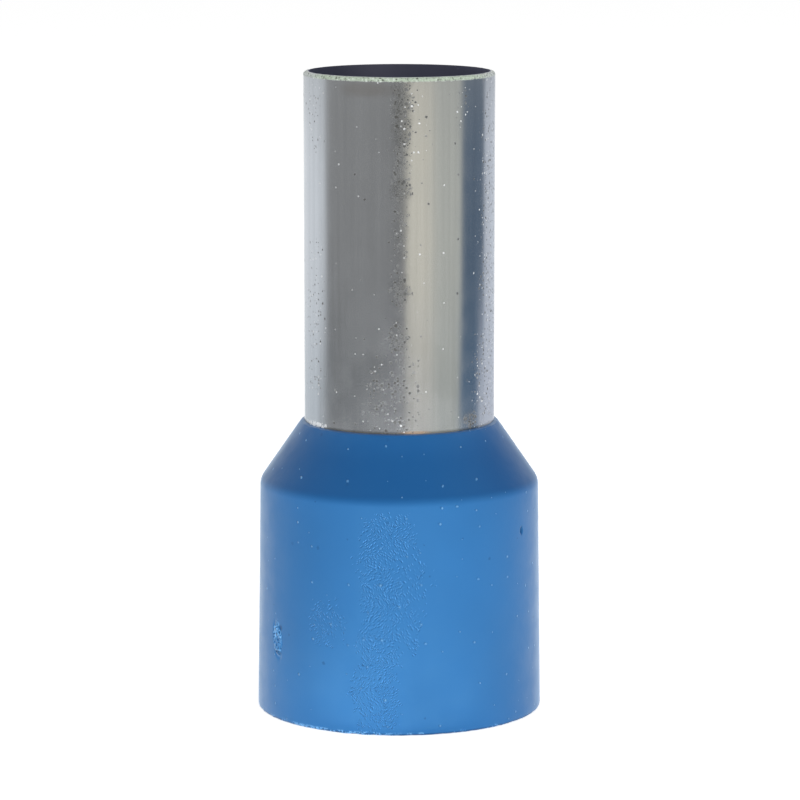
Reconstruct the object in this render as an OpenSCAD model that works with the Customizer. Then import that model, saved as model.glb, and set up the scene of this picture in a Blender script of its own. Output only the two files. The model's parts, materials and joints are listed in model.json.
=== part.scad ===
// Insulated wire-end ferrule: a plated copper sleeve, flared at one end, seated in a moulded
// plastic collar. It stands on the collar's mouth, and +Z runs up its axis to the sleeve's tip.

/* [Sleeve] */
// Inside diameter of the sleeve, where the conductor's strands go
sleeve_bore = 10.3; // [8:0.1:11]
// Thickness of the sleeve's wall
sleeve_wall = 0.3; // [0.2:0.05:0.4]
// Length of the sleeve past the collar's lip
sleeve_reach = 20; // [12:0.5:32]
// Radius on the outer edge of the sleeve's tip
tip_round = 0.18; // [0.05:0.01:0.19]

/* [Flare] */
// Slope of the flare and of the collar's funnel, from the axis in degrees
flare_angle = 34.5; // [25:0.5:42]
// How far the flare's rim stops short of the collar's bore
rim_gap = 0.3; // [0.1:0.05:0.5]

/* [Collar] */
// Inside diameter of the collar, where the wire's insulation goes
collar_bore = 15; // [14.6:0.1:18]
// Length of the collar from its mouth to its lip
collar_len = 16.7; // [14:0.1:24]
// Wall of the collar at its mouth
mouth_wall = 0.7; // [0.55:0.01:1]
// Wall of the collar at its shoulder, thinner because the mould is drafted
shoulder_wall = 0.5; // [0.4:0.01:0.54]
// Wall of the funnel, square to its slope
funnel_wall = 0.6; // [0.5:0.05:0.7]
// Wall left at the lip, round the sleeve
lip_wall = 0.2; // [0.12:0.01:0.3]
// Radius of the shoulder between the collar's side and its funnel
shoulder_round = 1; // [0.3:0.1:1.5]
// Radius on the outer edge of the lip
lip_round = 0.1; // [0.02:0.01:0.12]
// Radius on the outer edge of the mouth
mouth_round = 0.12; // [0.05:0.01:0.3]
// Lead-in bevel on the inner edge of the mouth
lead_in = 0.2; // [0.05:0.05:0.3]

/* [Gate mark] */
// Diameter of the slanted runner that the collar was moulded through
gate_d = 1.05; // [0.6:0.05:2]
// Slant of that runner, from square to the wall in degrees
gate_slant = 57; // [0:1:60]
// Height of the mark above the mouth
gate_height = 4.7; // [2.5:0.1:9]
// Place of the mark round the collar, in degrees from the front
gate_turn = -58.5; // [-180:0.5:180]
// How far the torn stub stands out of the wall
gate_proud = 0.07; // [0.02:0.01:0.15]

/* [Hidden] */
$fn = 128;
arc_error = 0.001; // how far an outline may stray from a true arc between its points
past = 1; // how far a cutting shape runs past what it cuts

sleeve_in = sleeve_bore / 2;
sleeve_out = sleeve_in + sleeve_wall;
tip_z = collar_len + sleeve_reach;

// The sleeve bends away from its axis at the lip. The bend's centre is level with the lip, and
// its radius leaves lip_wall there where the funnel's wall is funnel_wall.
flare_bend = (funnel_wall - lip_wall * cos(flare_angle)) / (1 - cos(flare_angle));
bend_centre = [sleeve_out + flare_bend, collar_len];
bend_end = bend_centre - flare_bend * facing(flare_angle);

bore_r = collar_bore / 2;
bore_top = bend_end[1] - (bore_r - bend_end[0]) / tan(flare_angle);
rim = bend_end + [1, -1 / tan(flare_angle)] * (bore_r - rim_gap - bend_end[0]);

mouth_r = bore_r + mouth_wall;
shoulder_r = bore_r + shoulder_wall;
lip_r = sleeve_out + lip_wall;
shoulder_z = collar_len - (shoulder_r - lip_r) / tan(flare_angle);
draft = atan((mouth_r - shoulder_r) / shoulder_z);

// The direction at an angle, from straight out towards straight up
function facing(angle) = [cos(angle), sin(angle)];

// The points of an arc
function arc(centre, radius, from, to) =
    let (steps = ceil(abs(to - from) / (2 * acos(1 - arc_error / radius))))
    [for (i = [0:steps]) centre + radius * facing(from + (to - from) * i / steps)];

// The points of a rounded corner, between two walls that face the angles from and to
function corner(at, radius, from, to) =
    arc(at - radius * (facing(from) + facing(to)) / (1 + cos(to - from)), radius, from, to);

// Up the outside from the rim, over the tip and down the inside
sleeve_outline = concat(
    [rim],
    arc(bend_centre, flare_bend, 180 + flare_angle, 180),
    corner([sleeve_out, tip_z], tip_round, 0, 90),
    [[sleeve_in, tip_z]],
    arc(bend_centre, flare_bend + sleeve_wall, 180, 180 + flare_angle),
    [rim - sleeve_wall * facing(flare_angle)]
);

// Up the outside from the mouth, over the lip, and down the throat, the funnel and the bore
collar_outline = concat(
    corner([mouth_r, 0], mouth_round, -90, draft),
    corner([shoulder_r, shoulder_z], shoulder_round, draft, flare_angle),
    corner([lip_r, collar_len], lip_round, flare_angle, 90),
    arc(bend_centre, flare_bend, 180, 180 + flare_angle),
    [rim, [bore_r, bore_top], [bore_r, lead_in], [bore_r + lead_in, 0]]
);

// What is left on the collar's side where its slanted runner was torn off
module gate_mark() {
    wall_r = mouth_r - gate_height * tan(draft);
    intersection() {
        rotate([0, 0, gate_turn]) translate([0, -wall_r, gate_height])
            rotate([90 - gate_slant, 0, 0]) cylinder(d = gate_d, h = 4 * gate_d, center = true);
        difference() {
            cylinder(r1 = mouth_r + gate_proud, r2 = shoulder_r + gate_proud, h = shoulder_z);
            translate([0, 0, -past]) cylinder(r = bore_r + shoulder_wall / 2, h = shoulder_z + 2 * past);
        }
    }
}

module metal_sleeve() {
    color("lightgray") rotate_extrude() polygon(sleeve_outline);
}

module insulating_collar() {
    color([0.15, 0.42, 0.72]) {
        rotate_extrude() polygon(collar_outline);
        gate_mark();
    }
}

metal_sleeve();
insulating_collar();
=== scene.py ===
import json
import math

import bpy
import numpy as np
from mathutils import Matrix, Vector, noise


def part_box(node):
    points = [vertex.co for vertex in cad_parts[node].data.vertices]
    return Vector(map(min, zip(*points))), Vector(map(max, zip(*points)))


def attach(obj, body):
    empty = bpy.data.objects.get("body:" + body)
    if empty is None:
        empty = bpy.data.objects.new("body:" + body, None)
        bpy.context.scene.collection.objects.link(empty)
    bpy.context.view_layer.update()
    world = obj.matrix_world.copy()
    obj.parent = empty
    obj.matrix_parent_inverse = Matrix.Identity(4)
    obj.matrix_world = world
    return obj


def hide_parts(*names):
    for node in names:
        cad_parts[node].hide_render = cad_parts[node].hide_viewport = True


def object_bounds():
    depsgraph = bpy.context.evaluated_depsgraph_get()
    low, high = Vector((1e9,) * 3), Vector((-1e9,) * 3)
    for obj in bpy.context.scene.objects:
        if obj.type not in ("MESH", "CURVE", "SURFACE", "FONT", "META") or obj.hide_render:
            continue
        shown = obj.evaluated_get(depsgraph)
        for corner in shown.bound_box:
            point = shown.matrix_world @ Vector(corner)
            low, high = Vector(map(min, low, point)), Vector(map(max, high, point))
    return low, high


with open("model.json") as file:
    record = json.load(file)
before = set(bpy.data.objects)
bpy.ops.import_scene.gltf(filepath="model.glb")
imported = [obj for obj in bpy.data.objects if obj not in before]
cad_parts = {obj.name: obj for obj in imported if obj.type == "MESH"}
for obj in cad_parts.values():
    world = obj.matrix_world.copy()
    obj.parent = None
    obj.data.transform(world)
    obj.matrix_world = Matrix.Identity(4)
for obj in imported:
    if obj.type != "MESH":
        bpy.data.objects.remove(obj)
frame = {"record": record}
cadLow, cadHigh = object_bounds()
scene = bpy.context.scene
mm = 0.001
print("frame loaded")


# sizes that the frame gives

def mountRadius(name):
    mount = next(m for m in frame["record"]["mounts"] if m["name"] == name)
    return mount["dims"]["r_mm"] * mm


sleeveLow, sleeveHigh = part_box("metal_sleeve")
collarLow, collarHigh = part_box("insulating_collar")
sleeveIn = mountRadius("conductor_bore")
sleeveOut = mountRadius("sleeve_shank")
boreRadius = mountRadius("insulation_bore")
lipHeight = collarHigh.z
tipHeight = sleeveHigh.z


# outlines are lists of (radius, height) points, and angles run from straight out to straight up

def facing(angle):
    return np.array([math.cos(angle), math.sin(angle)])


def arc(centre, radius, start, end, steps):
    return [centre + radius * facing(start + (end - start) * i / steps) for i in range(steps + 1)]


def corner(at, radius, start, end, steps):
    centre = np.array(at) - radius * (facing(start) + facing(end)) / (1 + math.cos(end - start))
    return arc(centre, radius, start, end, steps)


def spaced(start, end, stepAt):
    # values from start to just short of end, at a spacing that changes on the way
    values = [start]
    while values[-1] + 1.5 * stepAt(values[-1]) < end:
        values.append(values[-1] + stepAt(values[-1]))
    return values


def rows(start, end, stepAt):
    # the points inside a straight stretch of outline
    length = np.linalg.norm(np.array(end) - start)
    heightAt = lambda gone: start[1] + (end[1] - start[1]) * gone / length
    gone = spaced(0, length, lambda g: stepAt(heightAt(g)))[1:]
    return [start + (np.array(end) - start) * g / length for g in gone]


def smooth(value, low, high):
    share = min(1.0, max(0.0, (value - low) / (high - low)))
    return share * share * (3 - 2 * share)


def turned(name, outside, inside, angles, relief):
    # turns a closed outline about the axis, and pushes its outside in or out by the relief
    outline = np.array(outside + inside)
    along = np.roll(outline, -1, axis=0) - np.roll(outline, 1, axis=0)
    normals = np.column_stack([along[:, 1], -along[:, 0]])
    normals /= np.linalg.norm(normals, axis=1)[:, None]
    count = len(outline)
    points = []
    for angle in angles:
        for i in range(count):
            push = relief(angle, *outline[i]) if i < len(outside) else 0
            radius, height = outline[i] + normals[i] * push
            points.append((radius * math.cos(angle), radius * math.sin(angle), height))
    faces = []
    for a in range(len(angles)):
        here, after = a * count, (a + 1) % len(angles) * count
        for i in range(count):
            j = (i + 1) % count
            faces.append((here + i, after + i, after + j, here + j))
    mesh = bpy.data.meshes.new(name)
    mesh.from_pydata(points, [], faces)
    mesh.shade_smooth()
    mesh.set_sharp_from_angle(angle=math.radians(40))
    piece = bpy.data.objects.new(name, mesh)
    scene.collection.objects.link(piece)
    return piece


# the flare is one bend and one slope, which the sleeve and the collar share

flare = {
    "slope": math.radians(34.5),
    "rimGap": 0.3 * mm,  # between the flare's rim and the collar's bore
    "funnelWall": 0.6 * mm,
    "lipWall": 0.2 * mm,
    "bendSteps": 12,
}
slope = flare["slope"]
bendRadius = (flare["funnelWall"] - flare["lipWall"] * math.cos(slope)) / (1 - math.cos(slope))
bendCentre = np.array([sleeveOut + bendRadius, lipHeight])
bendEnd = bendCentre - bendRadius * facing(slope)


def onSlope(radius):
    # the point of the funnel's inside at a radius
    return bendEnd + np.array([1, -1 / math.tan(slope)]) * (radius - bendEnd[0])


# the collar

gatePlace = (-58.5, 4.7)  # degrees round from the front, and mm above the mouth
nickPlace = (59.7, 10.95)

collar = {
    "shoulderWall": 0.5 * mm,
    "shoulderRound": 1.0 * mm,
    "lipRound": 0.1 * mm,
    "mouthRound": 0.12 * mm,
    "leadIn": 0.2 * mm,
    "waves": [(0.012 * mm, 5 * mm, 0), (0.004 * mm, 1.3 * mm, 7)],  # depth, size and seed
    "gate": {"place": gatePlace, "half": (0.45 * mm, 0.97 * mm), "lean": 0.12, "fineUp": 1.3},
    "gateProud": 0.05 * mm,
    "gateRough": [(0.09 * mm, 0.16 * mm, 3), (0.05 * mm, 0.33 * mm, 5)],
    "gateGroove": (0.05 * mm, 0.5 * mm, 9),
    "nick": {"place": nickPlace, "half": (0.16 * mm, 0.26 * mm), "lean": 0.0, "fineUp": 1.5},
    "nickDepth": 0.12 * mm,
    "wornMouth": (0.03 * mm, 0.4 * mm, 11),
    "wornLip": (0.03 * mm, 0.4 * mm, 13),
    "coarse": 0.2 * mm,  # sizes of the mesh's faces
    "fine": 0.045 * mm,
    "funnelStep": 0.5 * mm,
    "boreStep": 0.6 * mm,
}


def awayFrom(angle, radius, mark):
    # how far round the wall a mark is
    middle = math.radians(mark["place"][0]) - math.pi / 2
    return math.remainder(angle - middle, 2 * math.pi) * radius


def ovalDistance(angle, radius, height, mark):
    # how far a place on the wall is from the middle of a mark, where 1 is the mark's edge
    across, up = awayFrom(angle, radius, mark), height - mark["place"][1] * mm
    return math.hypot((across + mark["lean"] * up) / mark["half"][0], up / mark["half"][1])


def grain(angle, radius, height, size, seed=0):
    spot = Vector((radius * math.cos(angle), radius * math.sin(angle), height)) / size
    return noise.noise(spot + Vector((seed, 0, 0)))


def inwards(at, least, depth, size, seed):
    # a grain that never stands out, and goes in by the least part of its depth or more
    return depth * (grain(*at, size, seed) - least)


def gateRelief(at, away):
    # the torn mark stands out, with a groove round it
    proud = collar["gateProud"]
    for depth, size, seed in collar["gateRough"]:
        proud += depth * grain(*at, size, seed)
    depth, size, seed = collar["gateGroove"]
    groove = depth * (0.5 + grain(*at, size, seed)) * math.exp(-((away - 1.08) / 0.12) ** 2)
    return (1 - smooth(away, 0.8, 1.02)) * proud - groove


def collarRelief(*at):
    # the mould's waviness goes inwards only, and so do the worn edges
    height = at[2]
    push = sum(inwards(at, 0.8, *wave) for wave in collar["waves"])
    away = ovalDistance(*at, collar["gate"])
    if away < 1.6:
        push += gateRelief(at, away)
    push -= collar["nickDepth"] * (1 - smooth(ovalDistance(*at, collar["nick"]), 0.3, 1.1))
    push += (1 - smooth(height, 0, 0.25 * mm)) * inwards(at, 0.7, *collar["wornMouth"])
    return push + smooth(height, lipHeight - 0.3 * mm, lipHeight) * inwards(at, 0.7, *collar["wornLip"])


def collarStep(height):
    for mark in (collar["gate"], collar["nick"]):
        if abs(height - mark["place"][1] * mm) < mark["fineUp"] * mark["half"][1]:
            return collar["fine"]
    return collar["coarse"]


def collarTurnStep(angle):
    radius = collarHigh.x
    for mark in (collar["gate"], collar["nick"]):
        if abs(awayFrom(angle, radius, mark)) < 1.5 * mark["half"][0]:
            return collar["fine"] / radius
    return collar["coarse"] / radius


def makeCollar():
    mouthRadius = min(collarHigh.x - collarLow.x, collarHigh.y - collarLow.y) / 2
    shoulderRadius = boreRadius + collar["shoulderWall"]
    lipRadius = sleeveOut + flare["lipWall"]
    shoulderHeight = lipHeight - (shoulderRadius - lipRadius) / math.tan(slope)
    draft = math.atan((mouthRadius - shoulderRadius) / shoulderHeight)
    mouth = corner((mouthRadius, 0), collar["mouthRound"], -math.pi / 2, draft, 6)
    shoulder = corner((shoulderRadius, shoulderHeight), collar["shoulderRound"], draft, slope, 8)
    lip = corner((lipRadius, lipHeight), collar["lipRound"], slope, math.pi / 2, 5)
    outside = mouth + rows(mouth[-1], shoulder[0], collarStep)
    outside += shoulder + rows(shoulder[-1], lip[0], collarStep) + lip
    throat = arc(bendCentre, bendRadius, math.pi, math.pi + slope, flare["bendSteps"])
    boreTop = onSlope(boreRadius)
    boreFoot = np.array([boreRadius, collar["leadIn"]])
    inside = throat + rows(bendEnd, boreTop, lambda height: collar["funnelStep"]) + [boreTop]
    inside += rows(boreTop, boreFoot, lambda height: collar["boreStep"])
    inside += [boreFoot, np.array([boreRadius + collar["leadIn"], 0])]
    angles = spaced(0, 2 * math.pi, collarTurnStep)
    return turned("collarShell", outside, inside, angles, collarRelief)


# the sleeve

sleeve = {
    "tipRound": 0.18 * mm,
    "waves": (0.005 * mm, 4 * mm, 0.25),  # depth, size and how little they change along the tube
    "burr": (0.03 * mm, 0.3 * mm, 2),
    "step": 0.4 * mm,
    "sides": 288,
}


def sleeveRelief(*at):
    angle, radius, height = at
    clear = smooth(height, lipHeight, lipHeight + 2 * mm)  # the seat in the collar stays true
    depth, size, along = sleeve["waves"]
    stretched = Vector((radius * math.cos(angle), radius * math.sin(angle), height * along)) / size
    push = depth * clear * (noise.noise(stretched) - 0.8)
    return push + smooth(height, tipHeight - 0.3 * mm, tipHeight) * inwards(at, 0.7, *sleeve["burr"])


def makeSleeve():
    wall = sleeveOut - sleeveIn
    rim = onSlope(boreRadius - flare["rimGap"])
    tip = corner((sleeveOut, tipHeight), sleeve["tipRound"], 0, math.pi / 2, 8)
    bend = arc(bendCentre, bendRadius, math.pi + slope, math.pi, flare["bendSteps"])
    step = lambda height: sleeve["step"]
    outside = [rim] + rows(rim, bend[0], step) + bend + rows(bend[-1], tip[0], step) + tip
    innerTip = np.array([sleeveIn, tipHeight])
    innerBend = arc(bendCentre, bendRadius + wall, math.pi, math.pi + slope, flare["bendSteps"])
    innerRim = rim - wall * facing(slope)
    inside = [innerTip] + rows(innerTip, innerBend[0], step) + innerBend
    inside += rows(innerBend[-1], innerRim, step) + [innerRim]
    angles = [2 * math.pi * i / sleeve["sides"] for i in range(sleeve["sides"])]
    return turned("sleeveTube", outside, inside, angles, sleeveRelief)


collarShell = makeCollar()
sleeveTube = makeSleeve()
for piece, node, slotName in (
    (collarShell, "insulating_collar", "blue_collar"),
    (sleeveTube, "metal_sleeve", "plated_sleeve"),
):
    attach(piece, "root")
    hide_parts(node)
print("pieces turned:", len(collarShell.data.polygons), len(sleeveTube.data.polygons), "faces")


# short ways to add shader nodes

def add(tree, kind, values=None, **settings):
    made = tree.nodes.new("ShaderNode" + kind)
    for name, value in settings.items():
        setattr(made, name, value)
    fill(tree, made, values or {})
    return made.outputs


def place(tree, group, values):
    made = tree.nodes.new("ShaderNodeGroup")
    made.node_tree = group
    fill(tree, made, values)
    return made.outputs


def fill(tree, made, values):
    for name, value in values.items():
        if isinstance(value, bpy.types.NodeSocket):
            tree.links.new(value, made.inputs[name])
        else:
            made.inputs[name].default_value = value


def calc(tree, operation, first, second=0.0):
    return add(tree, "Math", {0: first, 1: second}, operation=operation)[0]


def times(tree, *factors):
    result = factors[0]
    for factor in factors[1:]:
        result = calc(tree, "MULTIPLY", result, factor)
    return result


def largest(tree, *values):
    result = values[0]
    for value in values[1:]:
        result = calc(tree, "MAXIMUM", result, value)
    return result


def total(tree, *values):
    result = values[0]
    for value in values[1:]:
        result = calc(tree, "ADD", result, value)
    return result


def rest(tree, share):
    return calc(tree, "SUBTRACT", 1.0, share)


def vector(tree, operation, first, second):
    return add(tree, "VectorMath", {0: first, 1: second}, operation=operation)[0]


def combined(tree, x, y, z=0.0):
    return add(tree, "CombineXYZ", {0: x, 1: y, 2: z})[0]


def ramp(tree, value, low, high, start=0.0, end=1.0):
    values = {"Value": value, "From Min": low, "From Max": high, "To Min": start, "To Max": end}
    return add(tree, "MapRange", values, interpolation_type="SMOOTHSTEP")[0]


def blend(tree, share, first, second):
    return add(tree, "Mix", {0: share, 6: first, 7: second}, data_type="RGBA")[2]


def noiseAt(tree, position, size, detail=2.0, roughness=0.5):
    values = {"Vector": position, "Scale": 1 / size, "Detail": detail, "Roughness": roughness}
    return add(tree, "TexNoise", values)[0]


def newGroup(name, takes, gives):
    group = bpy.data.node_groups.new(name, "ShaderNodeTree")
    for label, kind in takes.items():
        group.interface.new_socket(name=label, in_out="INPUT", socket_type="NodeSocket" + kind)
    for label, kind in gives.items():
        group.interface.new_socket(name=label, in_out="OUTPUT", socket_type="NodeSocket" + kind)
    given = group.nodes.new("NodeGroupInput").outputs
    return group, given, group.nodes.new("NodeGroupOutput").inputs


def newMaterial(name):
    material = bpy.data.materials.new(name)
    material.use_nodes = True
    tree = material.node_tree
    tree.nodes.clear()
    return material, tree


def whereOn(tree):
    # the position on a piece, and the same place on the round wall
    position = add(tree, "TexCoord")["Object"]
    return position, place(tree, roundPlace, {"Position": position})


def finishMaterial(tree, shader):
    out = tree.nodes.new("ShaderNodeOutputMaterial")
    tree.links.new(shader, out.inputs["Surface"])


# effects that both materials use

def makeRoundPlace():
    # a place on a round wall: its turn from the front, height and radius, and the wall rolled flat
    gives = {"Turn": "Float", "Height": "Float", "Radius": "Float", "Flat": "Vector"}
    group, given, out = newGroup("roundPlace", {"Position": "Vector"}, gives)
    split = add(group, "SeparateXYZ", {0: given["Position"]})
    turn = calc(group, "ARCTAN2", split[0], times(group, split[1], -1.0))
    level = combined(group, split[0], split[1])
    radius = add(group, "VectorMath", {0: level}, operation="LENGTH")["Value"]
    flat = combined(group, times(group, turn, radius), split[2])
    for name, value in (("Turn", turn), ("Height", split[2]), ("Radius", radius), ("Flat", flat)):
        group.links.new(value, out[name])
    return group


def makeOvalPatch():
    # a ragged oval on a round wall; Ragged is a noise about 0 that moves its edge
    takes = {"Flat": "Vector", "Radius": "Float", "Turn": "Float", "Height": "Float",
             "Half Width": "Float", "Half Height": "Float", "Softness": "Float", "Ragged": "Float"}
    group, given, out = newGroup("ovalPatch", takes, {"Mask": "Float"})
    across = times(group, calc(group, "RADIANS", given["Turn"]), given["Radius"])
    centre = combined(group, across, given["Height"])
    half = combined(group, given["Half Width"], given["Half Height"], 1.0)
    shares = vector(group, "DIVIDE", vector(group, "SUBTRACT", given["Flat"], centre), half)
    reach = add(group, "VectorMath", {0: shares}, operation="LENGTH")["Value"]
    reach = total(group, reach, given["Ragged"])
    outer = total(group, 1.0, given["Softness"])
    group.links.new(ramp(group, reach, outer, rest(group, given["Softness"])), out["Mask"])
    return group


def makeSpeckField():
    # scattered ragged specks of mixed strength; Share is the part of the places that hold one
    takes = {"Flat": "Vector", "Spacing": "Float", "Size": "Float", "Share": "Float", "Shift": "Vector"}
    group, given, out = newGroup("speckField", takes, {"Mask": "Float"})
    moved = vector(group, "ADD", given["Flat"], given["Shift"])
    scale = calc(group, "DIVIDE", 1.0, given["Spacing"])
    cells = add(group, "TexVoronoi", {"Vector": moved, "Scale": scale}, voronoi_dimensions="2D")
    parts = add(group, "SeparateColor", {0: cells["Color"]})
    fine = {"Vector": moved, "Scale": calc(group, "DIVIDE", 0.9, given["Size"]), "Detail": 1.0}
    torn = add(group, "TexNoise", fine, noise_dimensions="2D")[0]
    away = times(group, cells["Distance"], given["Spacing"], total(group, 0.5, torn))
    size = times(group, given["Size"], ramp(group, parts[1], 0.0, 1.0, 0.5, 1.3))
    inside = ramp(group, away, size, times(group, size, 0.5))
    held = calc(group, "LESS_THAN", parts[0], given["Share"])
    strength = ramp(group, parts[2], 0.0, 1.0, 0.45, 1.0)
    group.links.new(times(group, inside, held, strength), out["Mask"])
    return group


def makeDashField():
    # short strokes that lie at an angle on a round wall: 1 along each and -1 in its shadow
    takes = {"Flat": "Vector", "Angle": "Float", "Length": "Float", "Width": "Float", "Share": "Float"}
    group, given, out = newGroup("dashField", takes, {"Relief": "Float"})
    broad = {"Vector": given["Flat"], "Scale": 1 / (0.7 * mm), "Detail": 1.0}
    sway = add(group, "TexNoise", broad, noise_dimensions="2D")["Color"]
    moved = vector(group, "ADD", given["Flat"], vector(group, "MULTIPLY", sway, (0.25 * mm,) * 3))
    angle = calc(group, "RADIANS", given["Angle"])
    lying = add(group, "VectorRotate", {"Vector": moved, "Angle": angle}, rotation_type="Z_AXIS")[0]
    scaled = vector(group, "DIVIDE", lying, combined(group, given["Length"], given["Width"], 1.0))
    masks = []
    for shift in (0.0, 0.48):
        spot = vector(group, "ADD", scaled, (0.0, shift, 0.0))
        cells = add(group, "TexVoronoi", {"Vector": spot, "Scale": 1.0}, voronoi_dimensions="2D")
        parts = add(group, "SeparateColor", {0: cells["Color"]})
        held = calc(group, "LESS_THAN", parts[0], given["Share"])
        inside = ramp(group, cells["Distance"], 0.46, 0.16)
        masks.append(times(group, inside, held, ramp(group, parts[1], 0.0, 1.0, 0.35, 1.0)))
    group.links.new(calc(group, "SUBTRACT", *masks), out["Relief"])
    return group


roundPlace = makeRoundPlace()
ovalPatch = makeOvalPatch()
speckField = makeSpeckField()
dashField = makeDashField()


def patch(tree, spot, ragged, turn, height, halfWidth, halfHeight, softness=0.4):
    values = {"Flat": spot["Flat"], "Radius": spot["Radius"], "Turn": turn, "Height": height * mm,
              "Half Width": halfWidth * mm, "Half Height": halfHeight * mm, "Softness": softness,
              "Ragged": ragged}
    return place(tree, ovalPatch, values)["Mask"]


def patches(tree, spot, ragged, listed, softness=0.4):
    # the strongest of several patches: turn in degrees, height, half width, half height, strength
    masks = [times(tree, patch(tree, spot, ragged, *one[:4], softness), one[4]) for one in listed]
    return largest(tree, *masks)


def raggedEdge(tree, position, size, amount):
    torn = calc(tree, "SUBTRACT", noiseAt(tree, position, size, 3.0, 0.6), 0.5)
    return times(tree, torn, amount)


def specks(tree, spot, spacing, size, share, shift=(0, 0)):
    values = {"Flat": spot["Flat"], "Spacing": spacing * mm, "Size": size * mm, "Share": share,
              "Shift": (shift[0] * mm, shift[1] * mm, 0)}
    return place(tree, speckField, values)["Mask"]


def scattered(tree, spot, listed, mask=1.0):
    # specks of several sizes inside a mask: spacing, size, share and shift
    return [specks(tree, spot, spacing, size, times(tree, mask, share), shift)
            for spacing, size, share, shift in listed]


def dashes(tree, spot, angle, length, width, share):
    values = {"Flat": spot["Flat"], "Angle": angle, "Length": length * mm, "Width": width * mm,
              "Share": share}
    return place(tree, dashField, values)["Relief"]


# the collar's moulded plastic

plastic = {
    "colour": (0.026, 0.155, 0.42, 1),
    # painted highlight colour, for the lit patch and the bright sides of the wrinkle strokes
    "paintedLight": (0.09, 0.34, 0.78, 1),
    # dark tone: the real cloudiness and dark specks, and also painted shade in several places below
    "dark": (0.003, 0.04, 0.15, 1),
    "coneShade": (0.003, 0.066, 0.228, 1),  # painted shade: the cone that faces up is darkened in its colour
    "whitenedAndHighlight": (0.21, 0.51, 0.90, 1),  # whitened where it is torn, and also the painted highlight on the tiny bumps
    "roughness": 0.42,
    "ior": 1.58,
    "tint": (0.35, 0.8, 1.0, 1),
    "sheen": 0.5,
    "sheenRoughness": 0.3,
    "sheenTint": (0.7, 0.85, 1.0, 1),
    "wrinkled": [  # places: turn in degrees, height, half width and half height in mm, and strength
        (-5, 11.0, 1.5, 1.6, 0.9),
        (-6, 7.8, 1.15, 3.2, 1.0),
        (-8, 4.3, 1.1, 2.3, 0.9),
        (-9, 2.0, 1.25, 1.7, 1.0),
        (-30, 6.3, 1.1, 1.3, 0.6),
        (4, 9.2, 1.2, 1.8, 0.35),
        (5.5, 6.0, 0.4, 1.2, 0.6),
        (150, 8.0, 1.6, 4.0, 0.8),
        (-120, 5.0, 1.2, 2.0, 0.6),
    ],
    "dash": (0.215, 0.085),
    "slants": (55, -45),
    # painted light and painted shade patches: turn, height, half width, half height and strength
    "lit": [(-38, 0.5, 6.0, 4.5, 0.15)],
    "shaded": [(9, 0.8, 1.6, 2.4, 0.12), (-36, 7.0, 3.0, 4.0, 0.09)],
    "coneShadeEdge": (3.75 * mm, 3.1 * mm),  # where the painted cone shade starts and is full, below the lip
    "nick": (*nickPlace, 0.15, 0.25),
    "scar": (*gatePlace, 0.43, 0.95),
    "scarDull": (-58.0, 4.45, 0.5, 0.33),
    # painted shade at the torn mark's lower and upper edges
    "scarShadeLow": (-58.5, 3.95, 0.3, 0.13),
    "scarShadeHigh": (-55.5, 5.4, 0.14, 0.16),
    "whitenedMouth": (-26, 0.1, 3.2, 1.0),
    "bumps": (1.1, 0.066, 0.42),  # spacing, size and share of the specks
    "paintedBumpShade": (1.1, 0.075, 0.42, (0.08, -0.04)),
    "darkSpecks": (2.1, 0.1, 0.3, (3, 0)),
    "bumpDepth": 0.03 * mm,
}


def plasticTone(tree, position, spot, relief, bumps):
    cloud = ramp(tree, noiseAt(tree, position, 6 * mm), 0.35, 0.65)
    tone = blend(tree, times(tree, cloud, 0.08), plastic["colour"], plastic["dark"])
    # painted light and painted shade: soft patches blended into the colour
    for places, colour in ((plastic["lit"], plastic["paintedLight"]), (plastic["shaded"], plastic["dark"])):
        for one in places:
            soft = patch(tree, spot, 0.0, *one[:4], 0.8)
            tone = blend(tree, times(tree, soft, one[4]), tone, colour)
    # painted shade on the upward-facing cone, a little less right at the lip
    start, full = plastic["coneShadeEdge"]
    coneShade = ramp(tree, spot["Height"], lipHeight - start, lipHeight - full)
    nearLip = ramp(tree, spot["Height"], lipHeight - 1.6 * mm, lipHeight, 1.0, 0.82)
    tone = blend(tree, times(tree, coneShade, nearLip), tone, plastic["coneShade"])
    # painted highlight and painted shade along the wrinkle strokes
    tone = blend(tree, ramp(tree, relief, 0.1, 0.8, 0.0, 0.9), tone, plastic["paintedLight"])
    tone = blend(tree, ramp(tree, relief, -0.1, -0.8, 0.0, 0.65), tone, plastic["dark"])
    # painted shade in the nick
    nick = patch(tree, spot, 0.0, *plastic["nick"], 0.4)
    tone = blend(tree, times(tree, nick, 0.75), tone, plastic["dark"])
    # painted shade beside each tiny bump
    bumpShadeMask = specks(tree, spot, *plastic["paintedBumpShade"])
    tone = blend(tree, times(tree, bumpShadeMask, 0.35), tone, plastic["dark"])
    dark = specks(tree, spot, *plastic["darkSpecks"])
    tone = blend(tree, times(tree, dark, 0.5), tone, plastic["dark"])
    # painted highlight on the tiny bumps
    return blend(tree, times(tree, bumps, 0.65), tone, plastic["whitenedAndHighlight"])


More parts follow.
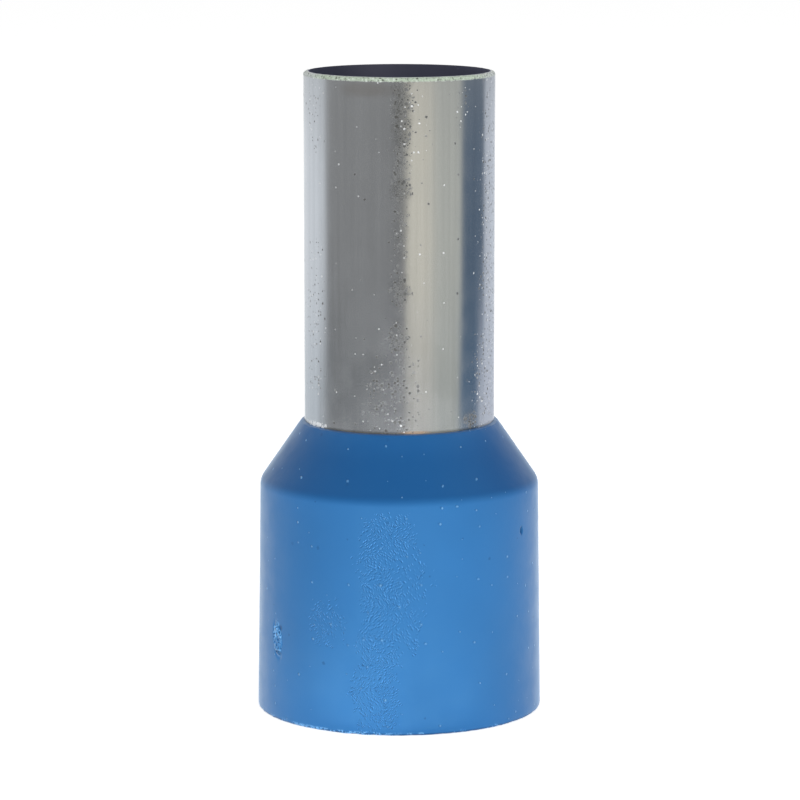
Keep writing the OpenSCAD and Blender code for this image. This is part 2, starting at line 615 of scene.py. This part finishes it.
def gateTone(tree, position, spot, grains, tone):
    # the torn gate mark leans, and is duller low down
    up = calc(tree, "SUBTRACT", spot["Height"], gatePlace[1] * mm)
    shift = combined(tree, times(tree, up, collar["gate"]["lean"]), 0.0)
    leaning = {"Flat": vector(tree, "ADD", spot["Flat"], shift), "Radius": spot["Radius"]}
    ragged = raggedEdge(tree, position, 0.4 * mm, 0.8)
    scar = patch(tree, leaning, ragged, *plastic["scar"], 0.12)
    dull = patch(tree, leaning, ragged, *plastic["scarDull"], 0.5)
    pale = times(tree, scar, ramp(tree, grains, 0.42, 0.62), rest(tree, times(tree, dull, 0.6)))
    tone = blend(tree, pale, tone, plastic["whitenedAndHighlight"])
    # painted shade at the mark's lower and upper edges, and dark grains inside it
    shadeLow = patch(tree, leaning, ragged, *plastic["scarShadeLow"], 0.5)
    shadeHigh = patch(tree, leaning, ragged, *plastic["scarShadeHigh"], 0.5)
    pits = times(tree, scar, ramp(tree, grains, 0.44, 0.32))
    scarGrainsAndShade = largest(tree, pits, times(tree, largest(tree, shadeLow, shadeHigh), 0.8))
    return blend(tree, scarGrainsAndShade, tone, plastic["dark"])


def mouthTone(tree, position, spot, grains, tone):
    # the mouth's edge is dark, with torn and whitened grains just above it
    edge = ramp(tree, spot["Height"], 0.18 * mm, 0.1 * mm)
    tone = blend(tree, times(tree, edge, 0.6), tone, plastic["dark"])
    torn = total(tree, spot["Height"], times(tree, grains, 0.3 * mm))
    ragged = ramp(tree, noiseAt(tree, position, 0.5 * mm), 0.52, 0.62)
    whitened = largest(tree, times(tree, ragged, 0.7),
                       patch(tree, spot, 0.0, *plastic["whitenedMouth"]))
    pale = times(tree, ramp(tree, torn, 0.42 * mm, 0.34 * mm), whitened, ramp(tree, grains, 0.47, 0.55))
    return blend(tree, pale, tone, plastic["whitenedAndHighlight"])


def makePlastic():
    material, tree = newMaterial("bluePlastic")
    position, spot = whereOn(tree)
    ragged = raggedEdge(tree, position, 1.4 * mm, 2.2)
    wrinkled = patches(tree, spot, ragged, plastic["wrinkled"], 0.35)
    lean = ramp(tree, noiseAt(tree, position, 1.5 * mm), 0.48, 0.52)
    down, up = plastic["slants"]
    falling = dashes(tree, spot, down, *plastic["dash"], times(tree, wrinkled, lean))
    rising = dashes(tree, spot, up, *plastic["dash"], times(tree, wrinkled, rest(tree, lean)))
    relief = total(tree, falling, rising)
    bumps = specks(tree, spot, *plastic["bumps"])
    tone = plasticTone(tree, position, spot, relief, bumps)
    grains = noiseAt(tree, position, 0.13 * mm)
    tone = gateTone(tree, position, spot, grains, tone)
    tone = mouthTone(tree, position, spot, grains, tone)
    fine = noiseAt(tree, position, 0.25 * mm, 3.0)
    height = total(tree, times(tree, relief, 0.35), times(tree, bumps, 1.4), times(tree, fine, 0.12))
    bump = add(tree, "Bump", {"Strength": 1.0, "Distance": plastic["bumpDepth"], "Height": height})[0]
    low, high = plastic["roughness"] - 0.04, plastic["roughness"] + 0.05
    rough = ramp(tree, noiseAt(tree, position, 1.1 * mm, 3.0), 0.3, 0.7, low, high)
    values = {"Base Color": tone, "Roughness": rough, "IOR": plastic["ior"],
              "Specular Tint": plastic["tint"], "Sheen Weight": plastic["sheen"],
              "Sheen Roughness": plastic["sheenRoughness"], "Sheen Tint": plastic["sheenTint"],
              "Normal": bump}
    finishMaterial(tree, add(tree, "BsdfPrincipled", values)[0])
    return material


# the sleeve's tin plate, with places and specks written as for the collar

plate = {
    "colour": (0.62, 0.64, 0.66, 1),
    # painted shade: the tube's inner wall is darkened in its colour
    "inside": (0.18, 0.185, 0.26, 1),
    "dirt": (0.05, 0.05, 0.045, 1),
    "dust": (0.85, 0.87, 0.88, 1),
    "brown": (0.34, 0.25, 0.17, 1),
    "copper": (0.75, 0.55, 0.42, 1),
    "verdigris": (0.41, 0.49, 0.39, 1),
    "worn": (0.55, 0.58, 0.58, 1),
    "roughness": 0.19,
    "grit": [
        (1.5, 34.6, 0.5, 2.2, 1.0),
        (0.8, 30.5, 0.48, 0.9, 1.0),
        (1.0, 30.0, 0.42, 3.6, 0.45),
        (0, 24.8, 0.52, 0.9, 0.9),
        (-0.5, 22.1, 0.52, 0.9, 0.7),
        (-4, 19.0, 1.3, 2.4, 0.3),
        (47, 17.3, 0.5, 0.45, 0.8),
        (160, 28.0, 0.6, 5.0, 0.8),
    ],
    "speckled": [
        (-63, 34.4, 0.9, 1.6, 0.6),
        (-62, 24.0, 1.0, 3.2, 0.5),
        (-62, 19.6, 1.0, 1.0, 0.6),
        (71, 27.0, 1.15, 10.0, 0.9),
        (64, 19.6, 1.2, 2.5, 0.9),
        (10, 34.0, 0.7, 1.6, 0.45),
        (41, 34.9, 0.45, 1.0, 0.7),
        (-4, 19.0, 1.6, 2.6, 0.12),
        (-140, 25.0, 1.5, 6.0, 0.8),
    ],
    "flaked": (-61, 16.82, 1.05, 0.16),
    "smudged": (-20, 36.0, 1.4, 0.4),
    "stained": (9, 16.8, 0.8, 0.08),
    "gritPits": [(0.26, 0.11, 0.85, (0, 0)), (0.17, 0.08, 0.8, (3, 1))],
    "speckledPits": [(0.21, 0.075, 0.5, (5, 2))],
    "loosePits": [(1.8, 0.08, 0.45, (8, 4))],
    "patchDust": [(0.42, 0.06, 0.14, (1, 6))],
    "speckledDust": [(0.24, 0.055, 0.3, (4, 7))],
    "looseDust": [(1.25, 0.05, 0.32, (9, 3))],
    "bumpDepth": 0.01 * mm,
}


def plateMarks(tree, position, spot):
    # masks of what lies on the plate or is worn into it
    ragged = raggedEdge(tree, position, 0.5 * mm, 1.6)
    grit = patches(tree, spot, ragged, plate["grit"], 0.5)
    speckled = patches(tree, spot, ragged, plate["speckled"], 0.5)
    grains = noiseAt(tree, position, 0.14 * mm, 3.0, 0.65)
    pits = largest(tree,
                   *scattered(tree, spot, plate["gritPits"], grit),
                   *scattered(tree, spot, plate["speckledPits"], speckled),
                   *scattered(tree, spot, plate["loosePits"]))
    dust = largest(tree,
                   *scattered(tree, spot, plate["patchDust"], largest(tree, grit, speckled)),
                   *scattered(tree, spot, plate["speckledDust"], speckled),
                   *scattered(tree, spot, plate["looseDust"]))
    flaked = patch(tree, spot, ragged, *plate["flaked"], 0.3)
    flaked = times(tree, flaked, ramp(tree, grains, 0.4, 0.52))
    return {"grit": grit, "grains": grains, "pits": pits, "dust": largest(tree, dust, flaked)}


def plateTone(tree, position, spot, marks, inside):
    lengthwise = vector(tree, "MULTIPLY", position, (1, 1, 0.02))
    drawn = ramp(tree, noiseAt(tree, lengthwise, 0.3 * mm, 3.0), 0.35, 0.65)
    tone = blend(tree, times(tree, drawn, 0.06), plate["colour"], plate["dirt"])
    tone = blend(tree, times(tree, marks["grit"], 0.32), tone, plate["dirt"])
    smudged = patch(tree, spot, raggedEdge(tree, position, 1 * mm, 0.8), *plate["smudged"], 0.6)
    tone = blend(tree, times(tree, smudged, 0.22), tone, plate["brown"])
    # painted shade where the sleeve meets the collar's lip
    jointShade = ramp(tree, spot["Height"], lipHeight + 0.2 * mm, lipHeight + 0.04 * mm)
    tone = blend(tree, times(tree, jointShade, 0.55), tone, plate["dirt"])
    stained = patch(tree, spot, 0.0, *plate["stained"])
    tone = blend(tree, times(tree, stained, 0.65), tone, plate["copper"])
    tone = blend(tree, times(tree, marks["pits"], 0.9), tone, plate["dirt"])
    tone = blend(tree, times(tree, marks["dust"], 0.9), tone, plate["dust"])
    # painted shade on the inner wall
    return blend(tree, inside, tone, plate["inside"])


def crustTone(tree, spot, grains):
    # the dull edge of the tip, green at the front and grey round the sides
    aside = ramp(tree, calc(tree, "ABSOLUTE", spot["Turn"]), math.radians(48), math.radians(72))
    tone = blend(tree, times(tree, aside, 0.75), plate["verdigris"], plate["worn"])
    tone = blend(tree, ramp(tree, grains, 0.47, 0.34), tone, plate["dirt"])
    return blend(tree, ramp(tree, grains, 0.55, 0.66, 0.0, 0.55), tone, plate["dust"])


def makePlate():
    material, tree = newMaterial("tinPlate")
    position, spot = whereOn(tree)
    marks = plateMarks(tree, position, spot)
    # the inner wall, which carries painted shade
    inside = ramp(tree, spot["Radius"], sleeveIn + 0.06 * mm, sleeveIn + 0.03 * mm)
    torn = total(tree, spot["Height"], times(tree, marks["grains"], 0.16 * mm))
    tip = ramp(tree, torn, tipHeight - 0.19 * mm, tipHeight - 0.12 * mm)
    edge = times(tree, tip, rest(tree, inside))
    tone = plateTone(tree, position, spot, marks, inside)
    tone = blend(tree, edge, tone, crustTone(tree, spot, marks["grains"]))
    dull = largest(tree, marks["dust"], edge, times(tree, marks["pits"], 0.7))
    metallic = rest(tree, times(tree, dull, 0.9))
    low, high = plate["roughness"] - 0.02, plate["roughness"] + 0.03
    haze = ramp(tree, noiseAt(tree, position, 2 * mm, 2.0), 0.3, 0.7, low, high)
    rough = total(tree, haze, times(tree, largest(tree, dull, inside), 0.3),
                  times(tree, marks["grit"], 0.06))
    relief = times(tree, marks["grains"], total(tree, times(tree, marks["grit"], 0.25), 0.03))
    relief = total(tree, relief, times(tree, marks["pits"], -0.2), times(tree, marks["dust"], 0.25))
    bump = add(tree, "Bump", {"Strength": 1.0, "Distance": plate["bumpDepth"], "Height": relief})[0]
    values = {"Base Color": tone, "Metallic": metallic, "Roughness": rough, "Normal": bump}
    finishMaterial(tree, add(tree, "BsdfPrincipled", values)[0])
    return material


collarShell.data.materials.append(makePlastic())
sleeveTube.data.materials.append(makePlate())
print("finishes made")


# the floor, the world and the lamps

studio = {
    "floorHalf": 2.0,
    "floorColour": (0.9, 0.9, 0.9, 1),
    "floorGlow": 0.6,
    "ambient": 0.42,
    "wallRadius": 75 * mm,
    "wallHeight": 70 * mm,
    "wallFaces": 120,
    "wallBlend": (4 * mm, 18 * mm),
    "wallTop": (25 * mm, 31 * mm),
    "topColour": (0.39, 0.39, 0.38, 1),
    "topShare": 0.3,
    "sheet": (44 * mm, 34 * mm),
    "sheetMiddle": -3 * mm,
    "sheetGap": 1 * mm,  # from the collar
    "sheetLift": 0.1 * mm,
    "sheetGlow": 3.5,
    "sheetAngle": (0.15, 0.5),  # from straight down to the low angle at which it is bright
}

lamps = {
    "frontLamp": {"turn": 2, "elevation": 20, "distance": 0.45, "size": (0.12, 0.12), "power": 1.2},
    "leftLamp": {"turn": -80, "elevation": 15, "distance": 0.45, "size": (0.3, 0.3), "power": 0.2},
    "rightLamp": {"turn": 85, "elevation": 15, "distance": 0.45, "size": (0.3, 0.3), "power": 0.42},
}

# cards that the bright metal mirrors, high up and low down: from one turn to another, and a colour
cards = {
    "high": [
        (-160, -104, (0.86, 0.89, 0.93)),
        (-90, -20, (0.32, 0.32, 0.32)),
        (-14, 6, (0.29, 0.29, 0.29)),
        (9, 32, (0.84, 0.79, 0.67)),
        (46, 75, (0.62, 0.62, 0.56)),
        (81, 117, (0.12, 0.17, 0.24)),
        (123, 162, (0.70, 0.74, 0.82)),
    ],
    "low": [
        (-160, -118, (0.66, 0.71, 0.76)),
        (-88, -20, (0.20, 0.21, 0.22)),
        (-14, 6, (0.23, 0.24, 0.26)),
        (9, 32, (0.51, 0.50, 0.47)),
        (46, 72, (0.46, 0.48, 0.45)),
        (78, 104, (0.10, 0.18, 0.29)),
        (110, 162, (0.64, 0.68, 0.78)),
    ],
}


def seenWhite(tree):
    # 1 for what the camera, a reflection or a clear piece sees
    path = add(tree, "LightPath")
    return largest(tree, path["Is Camera Ray"], path["Is Glossy Ray"], path["Is Transmission Ray"])


def stageSheet(name, points, faces, material):
    mesh = bpy.data.meshes.new(name)
    mesh.from_pydata(points, [], faces)
    mesh.materials.append(material)
    sheet = bpy.data.objects.new(name, mesh)
    scene.collection.objects.link(sheet)
    return sheet


def onlyMirrored(sheet):
    sheet.visible_camera = False
    sheet.visible_diffuse = False
    sheet.visible_shadow = False


def makeFloor():
    material, tree = newMaterial("floorWhite")
    diffuse = add(tree, "BsdfDiffuse", {"Color": studio["floorColour"]})[0]
    glow = add(tree, "Emission", {"Strength": times(tree, seenWhite(tree), studio["floorGlow"])})[0]
    finishMaterial(tree, add(tree, "AddShader", {0: diffuse, 1: glow})[0])
    half, level = studio["floorHalf"], cadLow.z
    points = [(-half, -half, level), (half, -half, level), (half, half, level), (-half, half, level)]
    stageSheet("floor", points, [(0, 1, 2, 3)], material)


def makeWorld():
    world = bpy.data.worlds.new("studioWorld")
    world.use_nodes = True
    tree = world.node_tree
    tree.nodes.clear()
    strength = ramp(tree, seenWhite(tree), 0.0, 1.0, studio["ambient"], 1.0)
    sky = add(tree, "Background", {"Color": (1, 1, 1, 1), "Strength": strength})[0]
    out = tree.nodes.new("ShaderNodeOutputWorld")
    tree.links.new(sky, out.inputs["Surface"])
    scene.world = world


def cardRamp(tree, spot, row):
    low, high = math.radians(cards[row][0][0] - 2), math.radians(cards[row][-1][1] + 2)
    share = add(tree, "MapRange", {"Value": spot["Turn"], "From Min": low, "From Max": high})[0]
    bands = tree.nodes.new("ShaderNodeValToRGB")
    tree.links.new(share, bands.inputs[0])
    stops = bands.color_ramp.elements
    for start, end, colour in cards[row]:
        for turn in (start, end):
            stop = stops.new((math.radians(turn) - low) / (high - low))
            stop.color = colour + (1,)
    stops.remove(stops[0])
    stops.remove(stops[-1])
    return bands.outputs[0]


def makeSurround():
    material, tree = newMaterial("surroundCard")
    spot = whereOn(tree)[1]
    up = ramp(tree, spot["Height"], *studio["wallBlend"])
    colour = blend(tree, up, cardRamp(tree, spot, "low"), cardRamp(tree, spot, "high"))
    top = ramp(tree, spot["Height"], *studio["wallTop"], 0.0, studio["topShare"])
    colour = blend(tree, top, colour, studio["topColour"])
    finishMaterial(tree, add(tree, "Emission", {"Color": colour, "Strength": 1.0})[0])
    low, high = math.radians(cards["high"][0][0]), math.radians(cards["high"][-1][1])
    count = studio["wallFaces"]
    points = []
    for i in range(count + 1):
        turn = low + (high - low) * i / count
        across, ahead = math.sin(turn) * studio["wallRadius"], -math.cos(turn) * studio["wallRadius"]
        points += [(across, ahead, cadLow.z), (across, ahead, cadLow.z + studio["wallHeight"])]
    faces = [(2 * i, 2 * i + 1, 2 * i + 3, 2 * i + 2) for i in range(count)]
    onlyMirrored(stageSheet("surround", points, faces, material))


def makeFrontSheet():
    # a sheet on the floor, bright at a low angle, which gives the collar its broad sheen
    material, tree = newMaterial("frontSheet")
    facing = add(tree, "LayerWeight", {"Blend": 0.5})["Facing"]
    glow = ramp(tree, facing, *studio["sheetAngle"], 1.0, studio["sheetGlow"])
    finishMaterial(tree, add(tree, "Emission", {"Strength": glow})[0])
    width, depth = studio["sheet"]
    near = cadLow.y - studio["sheetGap"]
    level = cadLow.z + studio["sheetLift"]
    left = -width / 2 + studio["sheetMiddle"]
    points = [(left, near - depth, level), (left + width, near - depth, level),
              (left + width, near, level), (left, near, level)]
    onlyMirrored(stageSheet("frontSheet", points, [(0, 1, 2, 3)], material))


def makeLamp(name, turn, elevation, distance, size, power):
    lamp = bpy.data.lights.new(name, "AREA")
    lamp.shape = "RECTANGLE"
    lamp.size, lamp.size_y = size
    lamp.energy = power
    holder = bpy.data.objects.new(name, lamp)
    scene.collection.objects.link(holder)
    turn, elevation = math.radians(turn), math.radians(elevation)
    level = math.cos(elevation) * distance
    target = Vector((0, 0, tipHeight / 2))
    away = Vector((math.sin(turn) * level, -math.cos(turn) * level, math.sin(elevation) * distance))
    holder.location = target + away
    holder.rotation_euler = (target - holder.location).to_track_quat("-Z", "Y").to_euler()
    holder.visible_camera = False
    holder.visible_glossy = False


makeFloor()
makeWorld()
makeSurround()
makeFrontSheet()
for lampName, lampValues in lamps.items():
    makeLamp(lampName, **lampValues)
print("studio made")


# the camera

camera = {
    "distance": 215.5 * mm,
    "height": 52.44 * mm,
    "aim": (0.04 * mm, 0, 17.79 * mm),
    "lens": 171.0,
    "sensor": 36,
}


def makeCamera():
    data = bpy.data.cameras.new("camera")
    data.lens = camera["lens"]
    data.sensor_width = camera["sensor"]
    data.clip_start = 0.01
    holder = bpy.data.objects.new("camera", data)
    scene.collection.objects.link(holder)
    aim = Vector(camera["aim"])
    holder.location = (aim.x, -camera["distance"], camera["height"])
    holder.rotation_euler = (aim - holder.location).to_track_quat("-Z", "Y").to_euler()
    scene.camera = holder


makeCamera()
scene.view_settings.view_transform = "Standard"
